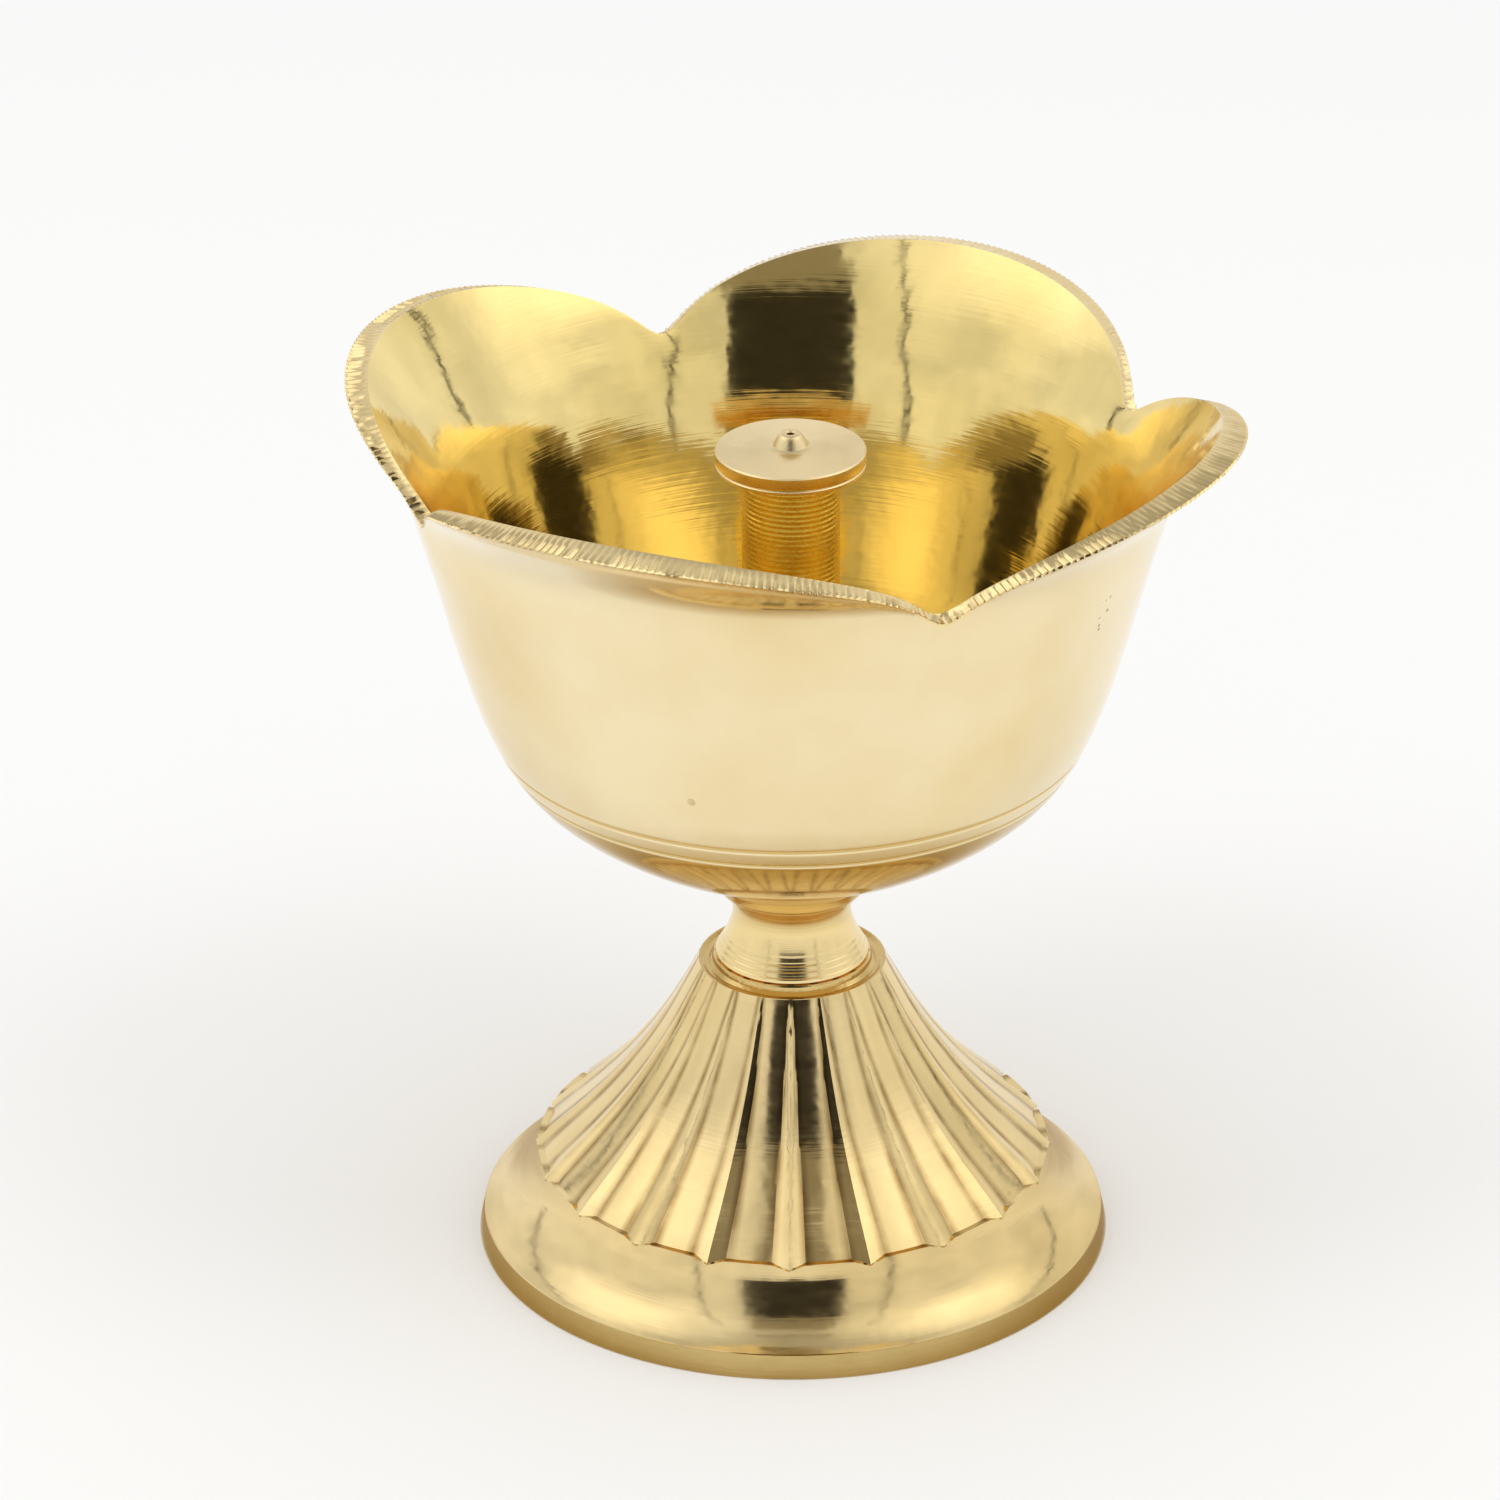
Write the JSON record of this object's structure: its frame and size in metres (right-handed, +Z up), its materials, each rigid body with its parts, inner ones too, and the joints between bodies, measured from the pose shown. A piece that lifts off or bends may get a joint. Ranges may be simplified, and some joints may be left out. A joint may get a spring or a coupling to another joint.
{
  "type": "diya oil lamp",
  "caption": "Brass diya oil lamp: lotus-petal bowl with a lift-out centre wick holder, waisted neck and fluted trumpet foot.",
  "frame": {"origin": "centre of the foot's lower edge, on the surface the lamp stands on", "axes": "+Z up along the lamp's axis; -Y towards the viewer of the picture's side; +X to that viewer's right"},
  "size_m": [0.0496, 0.0486, 0.0528],
  "materials": {
    "bowl": "polished cast brass, smooth outside, fine lathe lines inside, knurled rim",
    "neck": "fine-turned brass",
    "foot": "polished cast brass with buffed flutes",
    "wick_post": "rough-turned brass with helical tool marks",
    "wick_disc": "faced brass, satin",
    "stud": "threaded brass rod",
    "washer": "plain brass washer",
    "nut": "plain brass nut"
  },
  "bodies": {
    "stand": {"bowl": "bowl", "neck": "neck", "foot": "foot", "stud": "stud", "washer": "washer", "nut": "nut"},
    "wick_holder": {"wick_post": "wick_post", "wick_disc": "wick_disc"}
  },
  "joints": [
    {"name": "wick_holder_lift", "type": "slide", "parent": "stand", "child": "wick_holder", "axis": [0, 0, 1], "range_m": [0, 0.032]}
  ]
}
